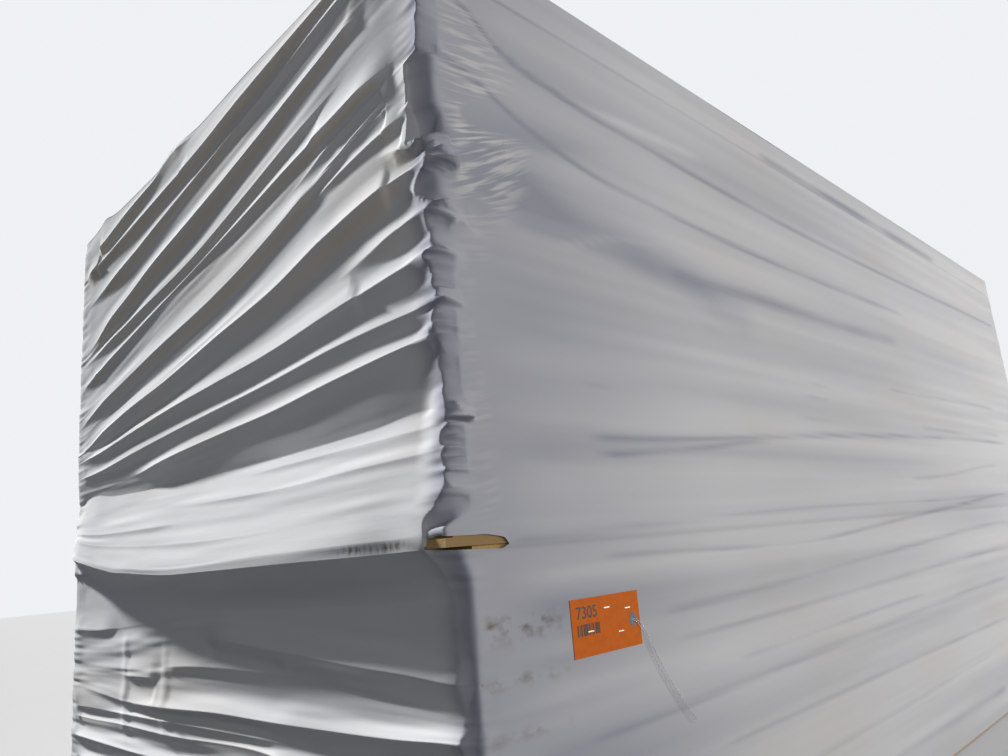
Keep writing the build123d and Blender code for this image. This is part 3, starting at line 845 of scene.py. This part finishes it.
class BUNDLE_OT_stage(Operator):
    """Adds the camera, the floor and the lights"""

    bl_idname = "bundle.stage"
    bl_label = "Stage"

    def execute(self, context):
        settings = context.scene.bundle_settings
        data = bpy.data.cameras.new("camera")
        data.lens = CAMERA_LENS
        data.sensor_width = 36.0
        data.clip_start = 0.01
        camera = bpy.data.objects.new("camera", data)
        right, up = Vector(CAMERA_RIGHT), Vector(CAMERA_UP)
        turn = Matrix((right, up, right.cross(up))).transposed()
        camera.matrix_world = Matrix.Translation(CAMERA_PLACE) @ turn.to_4x4()
        context.scene.collection.objects.link(camera)
        context.scene.camera = camera

        bpy.ops.object.select_all(action="DESELECT")
        bpy.ops.mesh.primitive_plane_add(size=30.0, location=(0, 0, FLOOR_Z))
        floor = context.active_object
        floor.name = "floor"
        bpy.ops.object.transform_apply(location=True, rotation=False, scale=False)
        material, tree, shader = make_material("pale_floor")
        base = tuple(settings.floor_colour)
        pale = tint(tree, noise(tree, 2.0), base, scaled(base, 0.96))
        seen = seen_directly(tree)
        coat(tree, shader, tint(tree, seen, scaled(base, 0.13, 0.14, 0.165), pale), 0.85)
        shader.inputs["Emission Color"].default_value = (0.98, 0.99, 1.0, 1)
        tree.links.new(product(tree, seen, 0.17), shader.inputs["Emission Strength"])
        floor.data.materials.append(material)
        all_but_floor = bpy.data.collections.new("all_but_floor")
        all_but_floor.objects.link(floor)
        all_but_floor.collection_objects[0].light_linking.link_state = "EXCLUDE"

        caught = bpy.data.collections.new("caught_by_key")
        key = add_lamp("key", "SUN", settings.key_strength, (0.98, 0.99, 1.0), KEY_FROM, (0, 0, 0), caught)
        key.angle = radians(3.0)
        back = add_lamp("back", "SUN", settings.back_strength, (1, 1, 1), BACK_FROM, (0, 0, 0))
        back.angle = radians(20.0)
        side = add_lamp("side", "AREA", settings.side_strength, (1.0, 0.985, 0.97),
                        (3.8, -4.4, 1.1), (1.6, -0.6, 0.4), all_but_floor)
        side.shape, side.size, side.size_y = "RECTANGLE", 4.5, 1.8
        near = add_lamp("near_corner", "AREA", settings.corner_strength, (1.0, 0.97, 0.98),
                        (-2.6, -4.4, 1.0), (-1.2, -0.6, 0.7), all_but_floor)
        near.shape, near.size, near.size_y = "RECTANGLE", 2.0, 1.5

        world = bpy.data.worlds.new("studio")
        context.scene.world = world
        world.use_nodes = True
        tree = world.node_tree
        shown = tree.nodes["Background"]
        shown.inputs["Color"].default_value = (0.86, 0.88, 0.90, 1)
        shown.inputs["Strength"].default_value = 1.0
        fill = add_node(tree, "ShaderNodeBackground", Strength=settings.fill_strength)
        fill.inputs["Color"].default_value = (0.80, 0.90, 1.0, 1)
        mix = tree.nodes.new("ShaderNodeMixShader")
        tree.links.new(seen_directly(tree), mix.inputs["Fac"])
        tree.links.new(fill.outputs["Background"], mix.inputs[1])
        tree.links.new(shown.outputs["Background"], mix.inputs[2])
        tree.links.new(mix.outputs["Shader"], tree.nodes["World Output"].inputs["Surface"])
        context.scene.view_settings.view_transform = "Standard"
        return {"FINISHED"}


# The tag's wire: points as places along the boards, heights and distances off the film, in mm
FILM_FACE = -0.6114
UPPER_WIRE = [(251.4, 389.1, 0.7), (254.3, 388.6, 1.85), (260.2, 385.9, 2.15), (271.8, 376.0, 1.8),
              (283.6, 354.6, 2.0), (301.0, 324.4, 2.3), (321.6, 297.8, 2.1), (341.0, 273.2, 2.3),
              (360.6, 252.4, 2.5)]
LOWER_WIRE = [(251.2, 387.7, 0.7), (254.0, 386.9, 1.85), (259.4, 383.4, 2.15), (268.8, 372.4, 1.8),
              (279.2, 350.6, 2.0), (295.6, 320.8, 2.3), (315.2, 294.6, 2.1), (334.0, 270.8, 2.3),
              (352.8, 250.2, 2.5)]


class BUNDLE_OT_tag_wires(Operator):
    """Adds the two strands of the tag's tie wire"""

    bl_idname = "bundle.tag_wires"
    bl_label = "Tag wires"

    def execute(self, context):
        settings = context.scene.bundle_settings
        steel = metal_material("tie_wire_steel", (0.52, 0.51, 0.49))
        for node, route, length in (("tag_wire_upper", UPPER_WIRE, 0.1775),
                                    ("tag_wire_lower", LOWER_WIRE, 0.1729)):
            curve = bpy.data.curves.new(node + "_strand", "CURVE")
            curve.dimensions = "3D"
            curve.bevel_depth = settings.wire_diameter / 2
            curve.bevel_resolution = 3
            curve.resolution_u = 12
            curve.use_fill_caps = True
            spline = curve.splines.new("NURBS")
            spline.points.add(len(route) - 1)
            for point, (along, height, off) in zip(spline.points, route):
                place = (BOARD_LOW.x + along * MM, FILM_FACE - off * MM, height * MM)
                point.co = (*place, 1.0)
            spline.order_u = 3
            spline.use_endpoint_u = True
            curve.materials.append(steel)
            strand = bpy.data.objects.new(node + "_strand", curve)
            context.scene.collection.objects.link(strand)
            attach(strand, "root")
            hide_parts(node)
        return {"FINISHED"}


class BUNDLE_OT_film_near_end(Operator):
    """Adds the film's folded near end, which goes round both corners and is torn at the sheet"""

    bl_idname = "bundle.film_near_end"
    bl_label = "Film, near end"

    def execute(self, context):
        place = spaced((-NEAR_WRAP, -52, 4.8), (-52, -16, 2.2), (-16, 16, 1.6), (16, 84, 2.2),
                       (84, 168, 3.6), (168, 1040, 8.0), (1040, WIDTH - 4, 3.8),
                       (WIDTH - 4, WIDTH + 4, 1.6), (WIDTH + 4, WIDTH + FAR_WRAP, 5))
        plan = row_plan(ROW_PITCH)
        points, values = film_points(place, plan, context.scene.bundle_settings)
        line = np.array([number for number, _ in plan])[:-1, None]
        torn = ((place[:-1] >= TEAR_FROM) & (place[1:] <= TEAR_TO + 1.5))[None, :]
        above = (line <= TEAR_TOP_LINE) & ~((line == TEAR_TOP_LINE) & torn)
        past = np.broadcast_to(place[:-1] > FAR_CUT, above.shape)
        below = line > TEAR_TOP_LINE
        catch_key(film_sheet("film_near_end_upper", points, values, above & ~past))
        catch_key(film_sheet("film_near_end_lower", points, values, below & ~past))
        film_sheet("film_far_corner", points, values, past)
        return {"FINISHED"}


class BUNDLE_OT_film_long_side(Operator):
    """Adds the film's long side, which carries the tag"""

    bl_idname = "bundle.film_long_side"
    bl_label = "Film, long side"

    def execute(self, context):
        place = spaced((-NEAR_WRAP, -600, 6), (-600, -LENGTH + 8, 14), (-LENGTH + 8, -LENGTH - 8, 2.4),
                       (-LENGTH - 8, -LENGTH - 40, 10))[::-1]
        points, values = film_points(place, row_plan(SIDE_ROW_PITCH), context.scene.bundle_settings)
        film_sheet("film_long_side", points, values)
        return {"FINISHED"}


class BUNDLE_OT_film_back(Operator):
    """Adds the film's back and its far end"""

    bl_idname = "bundle.film_back"
    bl_label = "Film, back and far end"

    def execute(self, context):
        far = WIDTH + LENGTH
        place = spaced((WIDTH + FAR_WRAP - 8, far - 8, 12), (far - 8, far + 8, 2.6),
                       (far + 8, far + WIDTH - 32, 12))
        heights = np.linspace(TOP_Z - CORNER_RADIUS, HEM_Z, 112)[:, None]
        heights = np.broadcast_to(heights, (112, len(place)))
        around = np.broadcast_to(place, heights.shape)
        line, facing = wrap_line(around)
        relief = ripples(heights, around, (1.1, 26.0, 300.0, 51), (0.6, 11.0, 160.0, 52))
        gather = bell(around, far, 70.0) * ripple(heights / 15.0, around / 90.0, 53)
        on_end = window(far + 10, far + 90, far + WIDTH - 120, far + WIDTH - 10, around)
        pleats = np.abs(ripple(heights / 60.0, around / 900.0, 54)) ** 0.7 * 9.0 * on_end
        relief = relief + 1.6 * gather + pleats
        relief = relief * smooth_step(TOP_Z + 2, TOP_Z - 20, heights)
        starts = smooth_step(WIDTH + FAR_WRAP - 10, WIDTH + FAR_WRAP + 30, around)
        bulge = BACK_BULGE * by_sheet(heights) * smooth_step(far + 6, far - 20, around)
        line = line + bulge[..., None] * facing
        x = line[..., 0] + relief * facing[..., 0] * starts
        y = line[..., 1] + relief * facing[..., 1] * starts - 0.4 * (1 - starts)
        film_sheet("film_back", np.stack([x, y, heights], axis=-1), {})
        return {"FINISHED"}


class BUNDLE_OT_film_top(Operator):
    """Adds the film's top"""

    bl_idname = "bundle.film_top"
    bl_label = "Film, top"

    def execute(self, context):
        settings = context.scene.bundle_settings
        r = CORNER_RADIUS
        over = np.array([0.0, 0.35, 0.7, 1.0])
        u = np.concatenate([-1 - over[::-1], np.linspace(-1, 1, 200)[1:-1], 1 + over])
        v = np.concatenate([-1 - over[::-1], np.linspace(-1, 1, 104)[1:-1], 1 + over])
        u, v = np.meshgrid(u, v)
        drop_u, drop_v = np.clip(np.abs(u) - 1, 0, 1), np.clip(np.abs(v) - 1, 0, 1)
        drop = np.maximum(drop_u, drop_v) * 0.5 * pi
        across = WIDTH / 2 - r + r * np.sin(drop_v * 0.5 * pi)
        half_length = LENGTH / 2 - r + r * np.sin(drop_u * 0.5 * pi)
        x = (NEAR_X + FAR_X) / 2 + np.clip(u, -1, 1) * half_length
        y = (NEAR_Y + FAR_Y) / 2 + np.clip(v, -1, 1) * across
        near = smooth_step(NEAR_X + 260, NEAR_X, x)
        place = np.clip(y - NEAR_Y, 0, WIDTH)
        edge = loose_depth(place, np.full(place.shape, TOP_Z - r))
        x = x - edge * near
        z = TOP_Z - r * (1 - np.cos(drop)) - 0.3
        flat = smooth_step(0.99, 0.93, np.abs(u)) * smooth_step(0.985, 0.9, np.abs(v))
        relief = ripples(y, x, (1.0, 34.0, 420.0, 61), (0.6, 13.0, 200.0, 62))
        z = z + flat * np.clip(relief, -1.0, 2.0) * settings.wrinkle_height
        z = z + top_lift(place) * smooth_step(NEAR_X + 150, NEAR_X, x)
        piece = film_sheet("film_top", np.stack([x, y, z], axis=-1), {})
        piece.data.flip_normals()
        return {"FINISHED"}


# The tag's print in metres, from the card's lower left corner
PRINT_LEFT = 0.0085
NUMBER_FOOT = 0.0415
BARS_MIDDLE = 0.029
BARS_LENGTH = 0.043
BAR_HEIGHT = 0.0125
BAR_UNIT = 0.00065
BAR_WIDTHS = (2, 1, 1, 3, 1, 2, 1, 1, 2, 3, 1, 1, 2, 1, 3, 1, 2, 1, 1, 2)
INK_THICKNESS = 0.00012


class BUNDLE_OT_tag_print(Operator):
    """Adds the tag's plain number and its bars"""

    bl_idname = "bundle.tag_print"
    bl_label = "Tag print"

    def execute(self, context):
        settings = context.scene.bundle_settings
        dark, faded = (0.018, 0.016, 0.015), (0.06, 0.045, 0.035)
        material = mottled_material("tag_ink", 0.6, 500.0, dark, faded, 0.5, 0.8)[0]
        face, left = TAG_LOW.y - INK_THICKNESS, TAG_LOW.x + PRINT_LEFT
        turn = Matrix.Rotation(radians(90), 4, "X")

        bpy.ops.object.select_all(action="DESELECT")
        bpy.ops.object.text_add()
        number = context.active_object
        number.data.body = str(settings.tag_number)
        number.data.size = settings.print_height * 1.48
        number.data.offset = 0.0002
        number.data.extrude = INK_THICKNESS / 2
        bpy.ops.object.convert(target="MESH")
        number.data.transform(Matrix.Translation((left, face, TAG_LOW.z + NUMBER_FOOT)) @ turn)
        number.name = number.data.name = "tag_number"

        bpy.ops.object.select_all(action="DESELECT")
        edge, made = left, []
        for step, width in enumerate(BAR_WIDTHS * 2):
            size = width * BAR_UNIT
            if step % 2 == 0 and edge + size < left + BARS_LENGTH:
                bpy.ops.mesh.primitive_cube_add(size=1.0)
                bar = context.active_object
                middle = Matrix.Translation((edge + size / 2, face, TAG_LOW.z + BARS_MIDDLE))
                bar.data.transform(middle @ Matrix.Diagonal((size, INK_THICKNESS, BAR_HEIGHT, 1)))
                made.append(bar)
            edge += size
        for bar in made:
            bar.select_set(True)
        bars = context.view_layer.objects.active = made[0]
        bpy.ops.object.join()
        bars.name = bars.data.name = "tag_bars"
        for piece in (number, bars):
            piece.data.materials.clear()
            piece.data.materials.append(material)
            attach(piece, "root")
        return {"FINISHED"}


class BUNDLE_OT_finishes(Operator):
    """Gives the boards, the sheet, the tag and its metal parts their materials"""

    bl_idname = "bundle.finishes"
    bl_label = "Boards, tag and metal"

    def execute(self, context):
        settings = context.scene.bundle_settings
        foam = foam_material("board_foam", tuple(settings.foam_colour), 0.0004)
        for name in ("boards_above", "boards_below"):
            paint_node(name, foam)
        paint_node("projecting_sheet", sheet_material(tuple(settings.foam_colour)))
        catch_key(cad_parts["projecting_sheet"])
        paint_node("tag_card", card_material(tuple(settings.tag_colour)))
        ring = mottled_material("ring_paper", 0.7, 200.0, (0.30, 0.28, 0.30), (0.15, 0.14, 0.15))
        paint_node("tag_ring", ring[0])
        paint_node("staples", metal_material("staple_steel", (0.46, 0.45, 0.43)))
        return {"FINISHED"}


class BUNDLE_PT_panel(Panel):
    """Lists the bundle's settings and pieces"""

    bl_idname = "BUNDLE_PT_panel"
    bl_label = "Insulation board bundle"
    bl_space_type = "VIEW_3D"
    bl_region_type = "UI"
    bl_category = "Bundle"

    def draw(self, context):
        for label in BundleSettings.__annotations__:
            self.layout.prop(context.scene.bundle_settings, label)
        for operator in OPERATORS:
            self.layout.operator(operator.bl_idname)


OPERATORS = (
    BUNDLE_OT_stage, BUNDLE_OT_tag_wires, BUNDLE_OT_film_near_end, BUNDLE_OT_film_long_side,
    BUNDLE_OT_film_back, BUNDLE_OT_film_top, BUNDLE_OT_tag_print, BUNDLE_OT_finishes,
)
CLASSES = (BundleSettings, *OPERATORS, BUNDLE_PT_panel)


def register():
    for item in CLASSES:
        bpy.utils.register_class(item)
    bpy.types.Scene.bundle_settings = PointerProperty(type=BundleSettings)


def unregister():
    del bpy.types.Scene.bundle_settings
    for item in reversed(CLASSES):
        bpy.utils.unregister_class(item)


def main():
    register()
    bpy.ops.bundle.stage()
    bpy.ops.bundle.tag_wires()
    bpy.ops.bundle.film_near_end()
    bpy.ops.bundle.film_long_side()
    bpy.ops.bundle.film_back()
    bpy.ops.bundle.film_top()
    bpy.ops.bundle.tag_print()
    bpy.ops.bundle.finishes()


if __name__ == "__main__":
    main()
